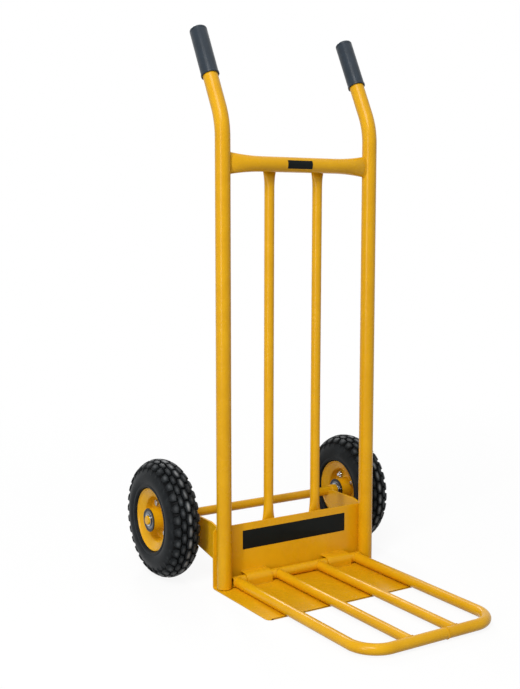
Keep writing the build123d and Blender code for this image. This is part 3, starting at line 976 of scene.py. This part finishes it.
@dataclass
class Wheel(Assembly):
    """Solid tyre with a block tread on a two-piece pressed rim with shielded bearings."""

    side: Side = Side.RIGHT
    track: float = 252 * MM
    axle_y: float = AXLE_Y
    radius: float = AXLE_Z
    hub_half: float = 35 * MM
    sheet: float = 2 * MM
    cup: float = 24.6 * MM
    disc: float = 47 * MM
    wall: tuple[float, float] = (18.5 * MM, 49.5 * MM)
    cone: tuple[float, float] = (25.5 * MM, 65 * MM)
    lip: tuple[float, float] = (28 * MM, 67.5 * MM)
    roll: float = 1.4 * MM
    bearing_outer: float = 23.5 * MM
    bearing_inner: float = 10.05 * MM
    bearing_width: float = 14 * MM
    race: float = 3.2 * MM
    recess: float = 0.8 * MM
    flange: tuple[float, float] = (2 * MM, 25.5 * MM)
    bolt_circle: float = 36 * MM
    bolt_count: int = 4
    bolt_turn: float = radians(56)
    bolt_radius: float = 4 * MM
    bolt_length: float = 16 * MM
    hex_flat: float = 6.5 * MM
    head_height: float = 5.3 * MM
    nut_height: float = 6.5 * MM
    valve_turn: float = radians(-104)
    valve_offset: float = 13 * MM
    valve_radius: float = 4.5 * MM
    tread_depth: float = 4.5 * MM
    pitches: int = 30
    columns_per_pitch: int = 24
    crown_arc: float = 36.58 * MM
    crown_centre: float = 88.92 * MM
    crown_angle: float = radians(51.7)
    widest: tuple[float, float] = (36 * MM, 94 * MM)
    wall_foot: tuple[float, float] = (34.3 * MM, 77.7 * MM)

    @property
    def body(self) -> Body:
        """The body that the wheel's pieces ride on."""
        return Body.LEFT_WHEEL if self.side is Side.LEFT else Body.RIGHT_WHEEL

    @property
    def centre(self) -> Array:
        """Centre of the wheel."""
        return np.array([self.side.value * self.track, self.axle_y, self.radius])

    def turned(self, profile: Array, count: int = 96) -> Array:
        """Turn a profile about the axle; distances run outward from the wheel's middle plane."""
        return lathe(profile, self.centre, self.side.value * X_AXIS, Y_AXIS, count)

    def tyre_section(self) -> tuple[Array, Array]:
        """Half outline of the smooth tyre from the crown to the bead seat.

        The crown is an arc. The wall is (1 - s)^2 * shoulder + 2 s (1 - s) * pull + s^2 * foot, where the
        pull brings its middle to the widest point. The bead follows the rim.

        Returns:
            Points of (distance, radius), and the arc run from the crown to each of them.
        """
        angle = np.linspace(0, self.crown_angle, 33)
        crown = np.stack([np.sin(angle), np.cos(angle)], axis=-1) * self.crown_arc
        crown[:, 1] += self.crown_centre
        foot, widest, shoulder = np.array(self.wall_foot), np.array(self.widest), crown[-1]
        share = np.linspace(0, 1, 15)[1:, None]
        pull = 2 * widest - (foot + shoulder) / 2
        wall = (1 - share) ** 2 * shoulder + 2 * share * (1 - share) * pull + share**2 * foot
        ring = np.array([(35.1, 76.3), (35.1, 72.8), (33.5, 70.8), (27.5, 70), (24.5, 65.4),
                         (19.2, 53.7), (14.4, 50.6), (0, 50.6)]) * MM
        bends = np.array([0.8, 1.4, 1.0, 1.0, 1.0, 0.8, 0.8]) * MM
        bead = rounded_path(np.concatenate([wall[-1:], ring]), bends, 3)[1:]
        outline = np.concatenate([crown, wall, bead])
        run = np.concatenate([[0], np.cumsum(np.linalg.norm(np.diff(outline, axis=0), axis=1))])
        return outline, run

    def tread(self, across: Array, turn: Array) -> tuple[Array, Array]:
        """Height of the tread blocks above the smooth tyre, and where light and shade are painted on its
        rubber.

        Each block is a plateau inside the outline where the largest of its edges' distances is nought, in
        millimetres over the crown and along the tread. Centre blocks and shoulder lugs stand at each
        pitch, flank blocks halfway between them, and ribs run down the sidewall. A painted highlight is a
        grey oval on a block that fades towards its edge, standing in for a glint of light.

        Args:
            across: arc run from the crown, signed, one for each row.
            turn: share of a full turn, one for each column.

        Returns:
            Heights from 0 to 1, and painted light from 0 to 1, both of shape (rows, columns): 0 is painted
            shade in a groove, 0.5 plain rubber and 1 a painted highlight.
        """
        pitch = 2 * pi * self.radius / self.pitches / MM
        over = np.abs(across)[:, None] / MM
        middle = np.abs((turn[None] * self.pitches + 0.5) % 1 - 0.5) * pitch
        between = pitch / 2 - middle
        centre = np.maximum(over - 6.7 + 0.185 * middle, middle - 12)
        flank = np.maximum(6.8 + 0.18 * between - over, over - 17.4 + 0.15 * between)
        flank = np.maximum(flank, between - 11.4 + 0.06 * over)
        lug_end = np.maximum(17.2 + 0.2 * middle - over, over - 32.5)
        lug_side = np.maximum(middle - 12.6 + 0.1 * over, 0.82 * (middle - 26.5 + 0.62 * over))
        lug = np.maximum(lug_end, lug_side)
        rib = np.maximum(np.abs(over - 36.5) - 3, middle - 4.2 + 0.3 * (over - 36.5))
        blocks = [plateau(centre, 1.3), 0.94 * plateau(flank, 1.3),
                  0.88 * plateau(lug, 1.4), 0.4 * plateau(rib, 1.8)]
        rise = np.max(np.broadcast_arrays(*blocks), axis=0)
        # Painted shade: the grooves get nought, and the blocks and the sidewall get one.
        plain = np.maximum(np.minimum(rise / 0.88, 1), np.clip((over - 33) / 5, 0, 1))
        # Painted highlights: grey ovals on the centre blocks, flank blocks and lugs that stand in for
        # glints of light.
        glints = [oval(over, middle, (3.0, 9)), 0.25 * oval(over - 12, between, (2.4, 6)),
                  0.25 * oval(over - 24, middle, (3.5, 6))]
        glint = np.max(np.broadcast_arrays(*glints), axis=0)
        return rise, 0.5 * plain + 0.5 * glint * np.minimum(rise / 0.4, 1)

    def tyre(self) -> Piece:
        """Tyre: the smooth outline turned about the axle, each point moved out along the outline's normal.

        Returns:
            The tyre's mesh with an attribute on its points that carries the painted groove shade and
            painted highlights.
        """
        half, run = self.tyre_section()
        outline = np.concatenate([half[::-1] * [-1, 1], half[1:-1]])
        across = np.concatenate([-run[::-1], run[1:-1]])
        ahead = directions(np.concatenate([outline[-1:], outline, outline[:1]]))[1:-1]
        normal = np.stack([-ahead[:, 1], ahead[:, 0]], axis=-1)
        columns = self.pitches * self.columns_per_pitch
        turn = np.arange(columns) / columns
        rise, shade_and_glint = self.tread(across, turn)
        moved = outline[:, None] + normal[:, None] * (rise * self.tread_depth)[..., None]
        circle = unit_circle(columns)
        sideways = self.side.value * moved[..., 0]
        points = np.stack([sideways, moved[..., 1] * circle[:, 0], moved[..., 1] * circle[:, 1]], axis=-1)
        piece = skin(f"{self.side.label}_block_tyre", points + self.centre, loop=True, sharp=44)
        attribute = piece.data.attributes.new("tread_shade_and_glint", "FLOAT", "POINT")
        attribute.data.foreach_set("value", shade_and_glint.astype(np.float32).ravel())
        return piece

    def rim_rings(self, outward: int) -> Array:
        """One pressed rim half turned about the axle: cup, disc, wall, flared cone and rolled lip.

        The roll is lip + roll * (cos(angle) * along + sin(angle) * square), along and square to the lip.

        Args:
            outward: 1 for the outer half, -1 for the inner one.

        Returns:
            Rings of its skin, to be closed in a loop.
        """
        half = self.sheet / 2
        cup_end = self.hub_half - self.flange[0] - 0.1 * MM
        corners = [(cup_end, self.cup), (half, self.cup), (half, self.disc), self.wall, self.cone, self.lip]
        middle = rounded_path(corners, np.array([3, 3, 5, 2]) * MM, 9)
        sides = sheet_profile(middle, self.sheet)
        along = directions(middle)[-1]
        square = np.array([-along[1], along[0]])
        angle = np.linspace(2, -2, 15)[:, None]
        roll = middle[-1] + self.roll * (np.cos(angle) * along + np.sin(angle) * square)
        profile = np.concatenate([sides[: len(middle) - 1], roll, sides[len(middle) + 1 :]])
        return self.turned(profile * [outward, 1], 128)

    def bolt_places(self) -> Array:
        """Where the bolt axes cross the wheel's middle plane: even steps round the bolt circle."""
        turn = self.bolt_turn + np.arange(self.bolt_count) * 2 * pi / self.bolt_count
        return self.centre + self.bolt_circle * np.stack([0 * turn, np.cos(turn), np.sin(turn)], axis=-1)

    def hexagon(self, start: float, stop: float) -> list[Array]:
        """Hexagon heads on the bolt circle, their outer corners turned off.

        The radius is flat / cos(angle from the nearest flat), held to a little over the flat at the top.

        Args:
            start: distance of the seat from the wheel's middle plane.
            stop: distance of the free face.

        Returns:
            Rings of each head.
        """
        count, flat = 36, self.hex_flat
        angle = np.arange(count) * 2 * pi / count
        corner = flat / np.cos((angle + pi / 6) % (pi / 3) - pi / 6)
        radius = np.stack([corner, corner, np.minimum(corner, 1.08 * flat),
                           0.97 * np.minimum(corner, 1.02 * flat)])
        level = self.side.value * (start + np.array([[0], [0.78], [0.9], [1]]) * (stop - start))
        rings = [np.broadcast_to(level, radius.shape), radius * np.cos(angle), radius * np.sin(angle)]
        return [place + np.stack(rings, axis=-1) for place in self.bolt_places()]

    def shank(self, start: float, stop: float) -> list[Array]:
        """Round shanks on the bolt circle with a chamfered end, a profile turned about each bolt's axis.

        Args:
            start: distance of the head's seat from the wheel's middle plane.
            stop: distance of the free end.

        Returns:
            Rings of each shank.
        """
        chamfer = 1 * MM
        step = np.sign(stop - start) * chamfer
        radius = self.bolt_radius
        profile = np.array([(start, radius), (stop - step, radius), (stop, radius - chamfer)])
        axis = self.side.value * X_AXIS
        return [lathe(profile, place, axis, Y_AXIS, 20) for place in self.bolt_places()]

    def bearing(self, outward: int) -> tuple[Array, Array]:
        """Shielded bearing: two races about a shield that is set back, and a flange on the outer race.

        Args:
            outward: 1 for the outer bearing, -1 for the inner one.

        Returns:
            Rings of the races and rings of the shield.
        """
        inner, outer = self.bearing_inner, self.bearing_outer
        face = self.hub_half
        back = face - self.bearing_width
        thick, wide = self.flange
        hub_edge, ring_edge = inner + self.race, outer - self.race
        floor, seat, proud = face - self.recess, face - 3 * MM, face - 0.35 * MM
        under = floor - 0.3 * MM
        corners = [(seat, inner), (face, inner), (face, hub_edge), (floor, hub_edge), (floor, ring_edge),
                   (face, ring_edge), (face, wide), (face - thick, wide), (face - thick, outer),
                   (back, outer), (back, inner), (seat, inner)]
        bends = np.array([0.6, 0.3, 0.1, 0.1, 0.3, 0.6, 0.2, 0.2, 0.4, 0.4]) * MM
        profile = rounded_path(corners, bends, 5)
        corners = [(under, hub_edge), (proud, hub_edge + 0.3 * MM), (proud, ring_edge - 0.8 * MM),
                   (under, ring_edge), (under, hub_edge)]
        shield = rounded_path(corners, np.array([0.2, 0.2, 0.05]) * MM, 5)
        return self.turned(profile * [outward, 1], 72), self.turned(shield * [outward, 1], 72)

    def valve_hole(self) -> tuple[Array, Array]:
        """Valve hole in the wall of the outer rim half: a low pressed lip, and a dark floor just under it
        that is painted shade for the hole's depth.

        Both are profiles turned about a line square to the wall.

        Returns:
            Rings of the lip and rings of the floor.
        """
        spoke = np.array([0, cos(self.valve_turn), sin(self.valve_turn)])
        slope = (self.wall[1] - self.disc) / self.wall[0]
        face = self.disc + slope * self.valve_offset - self.sheet / 2
        middle = self.centre + self.side.value * self.valve_offset * X_AXIS + face * spoke
        axis = spoke - slope * self.side.value * X_AXIS
        axis /= np.linalg.norm(axis)
        hole = self.valve_radius
        lip = [(0.6 * MM, hole - 0.6 * MM), (-0.5 * MM, hole - 0.4 * MM),
               (-0.5 * MM, hole + 0.6 * MM), (0.6 * MM, hole + 1.6 * MM)]
        rim = rounded_path(np.array(lip), np.array([0.3, 0.3]) * MM, 5)
        # The dark floor is painted shade for the hole's depth, set just under the lip.
        floor = np.array([(0.3 * MM, hole - 0.2 * MM), (-0.15 * MM, hole - 0.3 * MM)])
        across = np.cross(axis, X_AXIS)
        across /= np.linalg.norm(across)
        return lathe(rim, middle, axis, across, 40), lathe(floor, middle, axis, across, 40)

    def build(self) -> None:
        """Build the tyre, both rim halves, bolts, nuts and bearings."""
        label = self.side.label
        self.place(self.tyre(), RUBBER, self.body, f"{label}_tyre")
        for name, outward in (("outer", 1), ("inner", -1)):
            rim = skin(f"{label}_{name}_dish", self.rim_rings(outward), loop=True)
            self.place(rim, ENAMEL, self.body, f"{label}_{name}_rim")
            races, shield = self.bearing(outward)
            ring = skin(f"{label}_{name}_races", races, loop=True)
            self.place(ring, RACE_STEEL, self.body, f"{label}_{name}_bearing")
            self.place(skin(f"{label}_{name}_shield", shield, loop=True), SHIELD, self.body)
        seat = self.sheet
        head = self.hexagon(seat, seat + self.head_height)
        bolts = skin(f"{label}_bolt_heads", *head, *self.shank(seat, seat - self.bolt_length))
        self.place(bolts, ZINC, self.body, f"{label}_rim_bolts")
        nuts = skin(f"{label}_hex_nuts", *self.hexagon(-seat, -seat - self.nut_height))
        self.place(nuts, ZINC, self.body, f"{label}_rim_nuts")
        lip, floor = self.valve_hole()
        self.place(skin(f"{label}_valve_lip", lip, loop=True), ENAMEL, self.body)
        # Dark disc in the valve hole: painted shade.
        self.place(skin(f"{label}_valve_hole_shade", floor), HOLE_SHADE, self.body)
        self.keep(f"{label}_hub_sleeve", ZINC)


@dataclass
class FoldingToe(Assembly):
    """Folding toe: a U of tube, its hinge tube and two bars."""

    radius: float = 11 * MM
    bar_radius: float = 10 * MM
    wall: float = 2 * MM
    rail_x: float = 158 * MM
    bar_x: float = 54 * MM
    front: float = -457 * MM
    hinge_y: float = HINGE_Y
    z: float = HINGE_Z
    bend: float = 55 * MM
    seam_x: float = 26 * MM
    bead: float = 1.5 * MM
    seam_bead: float = 1 * MM

    def joint(self, x: float, y: float, radius: float, facing: int) -> Array:
        """Line where a bar meets a cross tube: y moves out by sqrt(tube^2 - height^2) to the tube's face.

        Args:
            x: axis of the bar.
            y: axis of the cross tube.
            radius: radius of the bar.
            facing: 1 or -1, the way along Y that the tube's face looks.

        Returns:
            Points of the closed line.
        """
        circle = radius * unit_circle(72)
        dip = np.sqrt(self.radius**2 - circle[:, 1] ** 2)
        return np.column_stack([x + circle[:, 0], y + facing * dip, self.z + circle[:, 1]])

    def beads(self, side: Side) -> list[Array]:
        """Beads round both ends of one bar and round the end of one rail.

        Args:
            side: which bar and rail.

        Returns:
            Rings of each bead.
        """
        bar, rail = side.value * self.bar_x, side.value * self.rail_x
        lines = [
            self.joint(bar, self.hinge_y, self.bar_radius, -1),
            self.joint(bar, self.front, self.bar_radius, 1),
            self.joint(rail, self.hinge_y, self.radius - 0.3 * MM, -1),
        ]
        return [weld_bead(line, Y_AXIS, self.bead, closed=True) for line in lines]

    def build(self) -> None:
        """Build the tubes and the beads at their joints."""
        half, y, z = self.rail_x, self.hinge_y, self.z
        sunk = y - 0.4 * self.radius
        corners = [(-half, sunk, z), (-half, self.front, z), (half, self.front, z), (half, sunk, z)]
        rings = tube(rounded_path(corners, self.bend, 30), Z_AXIS, self.radius, self.wall)
        self.place(skin("bent_toe_frame", rings, loop=True), ENAMEL, Body.TOE, "toe_frame")
        end = half + self.radius
        hinge = np.array([(-end, y, z), (end, y, z)])
        rings = tube(hinge, Z_AXIS, self.radius, self.wall)
        self.place(skin("hinge_tube", rings, loop=True), ENAMEL, Body.TOE, "toe_hinge_tube")
        beads = []
        for side in Side:
            x = side.value * self.bar_x
            path = np.array([(x, sunk, z), (x, self.front + 0.4 * self.radius, z)])
            bar = skin(f"{side.label}_load_bar", tube(path, Z_AXIS, self.bar_radius, self.wall), loop=True)
            self.place(bar, ENAMEL, Body.TOE, f"{side.label}_toe_bar")
            beads += self.beads(side)
        butt = hoop(self.seam_x, (self.front, z), self.radius, 72)
        beads.append(weld_bead(butt, X_AXIS, self.seam_bead, closed=True))
        self.place(skin("toe_welds", *beads, loop=True), WELD_ENAMEL, Body.TOE)


@dataclass
class FrameWelds(Assembly):
    """Weld beads that join the fixed frame, under the same enamel."""

    rest: BackRest = field(default_factory=BackRest)
    base: Base = field(default_factory=Base)
    axle: Axle = field(default_factory=Axle)
    bead: float = 1.8 * MM
    fine_bead: float = 1.3 * MM
    sunk: float = 0.3 * MM
    bracket_seam: tuple[float, float] = (57 * MM, 129 * MM)
    strap_inset: float = 3 * MM
    sill_half: float = 13 * MM
    panel_proud: float = 0.4 * MM
    bar_sunk: float = 0.2 * MM
    slat_inset: float = 1 * MM
    bar_seam: tuple[float, float] = (-6 * MM, 8 * MM)
    panel_seam: tuple[float, float] = (-24 * MM, -2 * MM)

    def ring_beads(self, side: Side) -> list[Array]:
        """Closed beads of one side: round the crossbar's end, on the upright's face, and round the axle.

        Args:
            side: which side.

        Returns:
            Rings of each bead.
        """
        rest, axle = self.rest, self.axle
        tall, thin = rest.bar_ovals(np.array([rest.upright_x]))
        oval_end = unit_circle(80) * [thin[0], tall[0]]
        x = side.value * (rest.upright_x - np.sqrt(rest.bar_radius**2 - oval_end[:, 0] ** 2))
        end = np.column_stack([x, oval_end[:, 0], rest.bar_height + oval_end[:, 1]])
        stop = hoop(side.value * axle.collar[0], (axle.y, axle.z), axle.radius + self.sunk, 80)
        return [weld_bead(line, X_AXIS, self.bead, closed=True) for line in (end, stop)]

    def bracket_beads(self, side: Side) -> list[Array]:
        """Beads on both faces of one bracket: round the axle's seat and up the panel's back.

        Args:
            side: which bracket.

        Returns:
            Rings of each bead.
        """
        base = self.base
        back = base.panel_front + base.sheet
        seat = base.seat_arc(base.seat_radius + self.sunk)
        beads = []
        for face in (base.bracket_x, base.bracket_x + base.bracket_sheet):
            x = side.value * face
            lines = [np.column_stack([np.full(len(seat), x), seat]),
                     np.array([(x, back, z) for z in self.bracket_seam])]
            beads += [weld_bead(line, X_AXIS, self.bead) for line in lines]
        return beads

    def strap_beads(self, side: Side) -> list[Array]:
        """Beads along both ends of one hinge strap.

        Args:
            side: which strap.

        Returns:
            Rings of each bead.
        """
        base = self.base
        middle, half = side.value * base.strap_x, base.strap_half - self.strap_inset
        ends = [(base.hinge_y - base.strap_outer, base.sheet),
                (base.panel_front, base.hinge_z + base.strap_outer)]
        lines = [np.array([(middle - half, *end), (middle + half, *end)]) for end in ends]
        return [weld_bead(line, Z_AXIS, self.bead) for line in lines]

    def slat_beads(self, side: Side) -> list[Array]:
        """Fine beads of one slat: along the panel's top, and up both edges of each pressed end.

        Args:
            side: which slat.

        Returns:
            Rings of each bead.
        """
        rest, base = self.rest, self.base
        middle = side.value * rest.slat_x
        panel_y = base.panel_front + base.sheet + self.panel_proud
        bar_y = rest.bar_radius - self.bar_sunk
        sill = [(middle + shift, panel_y, base.panel_top) for shift in (-self.sill_half, self.sill_half)]
        beads = [weld_bead(np.array(sill), Z_AXIS, self.fine_bead)]
        for edge in (-1, 1):
            x = middle + edge * (rest.slat_end - self.slat_inset)
            lines = [[(x, bar_y, rest.bar_height + z) for z in self.bar_seam],
                     [(x, panel_y, rest.panel_top + z) for z in self.panel_seam]]
            beads += [weld_bead(np.array(line), Y_AXIS, self.fine_bead) for line in lines]
        return beads

    def build(self) -> None:
        """Build the closed beads and the open beads as two pieces."""
        closed, opened = [], []
        for side in Side:
            closed += self.ring_beads(side)
            opened += self.bracket_beads(side) + self.strap_beads(side) + self.slat_beads(side)
        self.place(skin("frame_ring_welds", *closed, loop=True), WELD_ENAMEL, Body.FRAME)
        self.place(skin("frame_seam_welds", *opened), WELD_ENAMEL, Body.FRAME)


@dataclass
class Labels(Assembly):
    """Two blank labels: a wide one on the panel and a small one round the crossbar's front."""

    film: float = 0.25 * MM
    panel_x: tuple[float, float] = (-131.5 * MM, 140 * MM)
    panel_z: tuple[float, float] = (75 * MM, 116.5 * MM)
    panel_front: float = PANEL_FRONT
    bar_x: tuple[float, float] = (-38 * MM, 24.5 * MM)
    bar_z: tuple[float, float] = (887.5 * MM, 904.7 * MM)
    bar_height: float = BAR_HEIGHT
    bar_radius: float = TUBE_RADIUS
    sunk: float = 0.1 * MM

    def panel_rings(self) -> Array:
        """Wide label: a rectangle with round corners carried out from the panel, its front edge eased.

        Returns:
            Rings of shape (rows, columns, 3).
        """
        middle = np.array([np.mean(self.panel_x), self.panel_front, np.mean(self.panel_z)])
        half_x, half_z = np.ptp(self.panel_x) / 2, np.ptp(self.panel_z) / 2
        out = np.array([self.sunk, 0, -self.film, -self.film * 1.2])
        shrink = np.array([0, 0, 0, 0.15 * MM])
        outline = bar_section(half_x - shrink, half_z - shrink, 0.8 * MM, 40)
        depth = np.broadcast_to(out[:, None], outline.shape[:2])
        return middle + np.stack([outline[..., 0], depth, outline[..., 1]], axis=-1)

    def crossbar_rings(self) -> Array:
        """Small label: an arc of film about the crossbar's axis, carried along X.

        Returns:
            Rings of shape (rows, columns, 3).
        """
        low, high = (np.arcsin((z - self.bar_height) / self.bar_radius) for z in self.bar_z)
        arc = np.linspace(low, high, 24)
        spoke = np.stack([-np.cos(arc), np.sin(arc)], axis=-1)
        inner, outer = (self.bar_radius - self.sunk) * spoke, (self.bar_radius + self.film) * spoke
        section = np.concatenate([inner, outer[::-1]]) + [0, self.bar_height]
        places = np.linspace(*self.bar_x, 3)
        return np.stack([np.column_stack([np.full(len(section), x), section]) for x in places])

    def build(self) -> None:
        """Build both labels."""
        self.place(skin("panel_label", self.panel_rings()), LABEL_FILM, Body.FRAME)
        self.place(skin("crossbar_label", self.crossbar_rings()), LABEL_FILM, Body.FRAME)


@dataclass(frozen=True)
class SoftBox:
    """A studio lamp with a flat square or upright face."""

    name: str
    place: tuple[float, float, float]
    aim: tuple[float, float, float]
    size: tuple[float, float]
    power: float

    def light(self) -> None:
        """Add the lamp to the scene."""
        lamp = bpy.data.lights.new(self.name, "AREA")
        lamp.shape = "RECTANGLE"
        lamp.size, lamp.size_y = self.size
        lamp.energy = self.power
        holder = bpy.data.objects.new(self.name, lamp)
        holder.location = self.place
        holder.rotation_euler = (Vector(self.aim) - Vector(self.place)).to_track_quat("-Z", "Y").to_euler()
        bpy.context.scene.collection.objects.link(holder)


@dataclass
class Studio:
    """Camera, soft lamps, white surroundings and a pale floor."""

    azimuth: float = radians(-32.1)
    elevation: float = radians(6.7)
    lens: float = 56.1
    sensor: float = 36.0
    eye: tuple[float, float, float] = (-1.294, -1.907, 0.784)
    fill: float = 0.31
    floor_radius: float = 30.0
    floor_top: float = -0.6 * MM
    floor_under: float = -10 * MM
    floor_tone: str = "A8A8A8"
    floor_glow: float = 0.9
    fade: tuple[float, float] = (0.9, 2.4)
    lamps: tuple[SoftBox, ...] = (
        SoftBox("key_lamp", (-3.0, -2.9, 4.8), (0, 0, 0.5), (2.6, 2.6), 222),
        SoftBox("strip_lamp", (-2.7, -1.5, 0.9), (0, 0, 0.6), (0.32, 1.9), 30),
        SoftBox("top_lamp", (0.4, -0.6, 3.2), (0, -0.1, 0.3), (1.6, 1.6), 5),
        SoftBox("back_lamp", (0.9, 3.4, 2.9), (0, 0, 0.4), (0.7, 1.7), 50),
    )

    def camera(self) -> None:
        """Set up the camera from its fitted place, angles and lens."""
        camera = bpy.data.cameras.new("camera")
        camera.lens = self.lens
        camera.sensor_width = self.sensor
        holder = bpy.data.objects.new("camera", camera)
        flat = cos(self.elevation)
        back = Vector((sin(self.azimuth) * flat, -cos(self.azimuth) * flat, sin(self.elevation)))
        holder.location = self.eye
        holder.rotation_euler = (-back).to_track_quat("-Z", "Y").to_euler()
        bpy.context.scene.collection.objects.link(holder)
        bpy.context.scene.camera = holder

    def seen(self, tree: bpy.types.NodeTree) -> bpy.types.NodeSocket:
        """One where the eye, a reflection or a clear part looks straight at the surroundings.

        Args:
            tree: node tree of the world or of the floor's material.

        Returns:
            Output socket that is one or nought.
        """
        path = add_node(tree, "ShaderNodeLightPath", {}).outputs
        rays = {0: path["Is Camera Ray"], 1: path["Is Glossy Ray"]}
        either = add_node(tree, "ShaderNodeMath", rays, operation="MAXIMUM").outputs[0]
        rays = {0: either, 1: path["Is Transmission Ray"]}
        return add_node(tree, "ShaderNodeMath", rays, operation="MAXIMUM").outputs[0]

    def surroundings(self) -> None:
        """White world to look at, with a quieter even light from it."""
        world = bpy.data.worlds.new("studio")
        world.use_nodes = True
        tree = world.node_tree
        tree.nodes.clear()
        quiet = add_node(tree, "ShaderNodeBackground", {"Color": linear("FFFFFF"), "Strength": self.fill})
        white = add_node(tree, "ShaderNodeBackground", {"Color": linear("FFFFFF"), "Strength": 1.0})
        mix = {0: self.seen(tree), 1: quiet.outputs[0], 2: white.outputs[0]}
        shown = add_node(tree, "ShaderNodeMixShader", mix)
        add_node(tree, "ShaderNodeOutputWorld", {"Surface": shown.outputs[0]})
        bpy.context.scene.world = world

    def floor(self) -> None:
        """White floor that keeps a faint shadow near the truck and fades into the surroundings."""
        rim = np.array([(self.floor_top, self.floor_radius), (self.floor_under, self.floor_radius)])
        piece = skin("studio_floor", lathe(rim, np.zeros(3), Z_AXIS, X_AXIS, 64))
        made = bpy.data.materials.new("pale_studio_floor")
        made.use_nodes = True
        tree = made.node_tree
        tree.nodes.clear()
        place = add_node(tree, "ShaderNodeTexCoord", {}).outputs["Object"]
        away = add_node(tree, "ShaderNodeVectorMath", {0: place}, operation="LENGTH").outputs["Value"]
        fade = {0: away, 1: self.fade[0], 2: self.fade[1], 3: self.floor_glow, 4: 1.0}
        glowing = add_node(tree, "ShaderNodeMapRange", fade).outputs[0]
        seen = self.seen(tree)
        share = add_node(tree, "ShaderNodeMath", {0: seen, 1: glowing}, operation="MULTIPLY")
        mix = {0: seen, 6: linear(self.floor_tone), 7: linear("FFFFFF")}
        tone = add_node(tree, "ShaderNodeMix", mix, data_type="RGBA").outputs[2]
        matt = add_node(tree, "ShaderNodeBsdfDiffuse", {"Color": tone})
        glow = add_node(tree, "ShaderNodeEmission", {"Color": linear("FFFFFF"), "Strength": 1.0})
        mix = {0: share.outputs[0], 1: matt.outputs[0], 2: glow.outputs[0]}
        shown = add_node(tree, "ShaderNodeMixShader", mix)
        add_node(tree, "ShaderNodeOutputMaterial", {"Surface": shown.outputs[0]})
        piece.data.materials.append(made)
        piece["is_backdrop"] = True

    def build(self) -> None:
        """Set up the whole studio."""
        scene = bpy.context.scene
        scene.view_settings.view_transform = "Standard"
        self.camera()
        self.surroundings()
        self.floor()
        for lamp in self.lamps:
            lamp.light()


def main() -> None:
    """Build every sub-assembly and the studio."""
    logging.basicConfig(level=logging.INFO, format="%(name)s: %(message)s")
    groups = [Uprights(), BackRest(), Base(), Axle(), Wheel(side=Side.LEFT), Wheel(side=Side.RIGHT),
              FoldingToe(), FrameWelds(), Labels()]
    for group in groups:
        group.build()
        for piece in group.pieces:
            log.info("%s: %s, %d faces", type(group).__name__, piece.name, len(piece.data.polygons))
    Studio().build()
    boxes = {"cad": CAD_BOX, "visual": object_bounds()}
    boxes = {name: [list(corner) for corner in box] for name, box in boxes.items()}


if __name__ == "__main__":
    main()
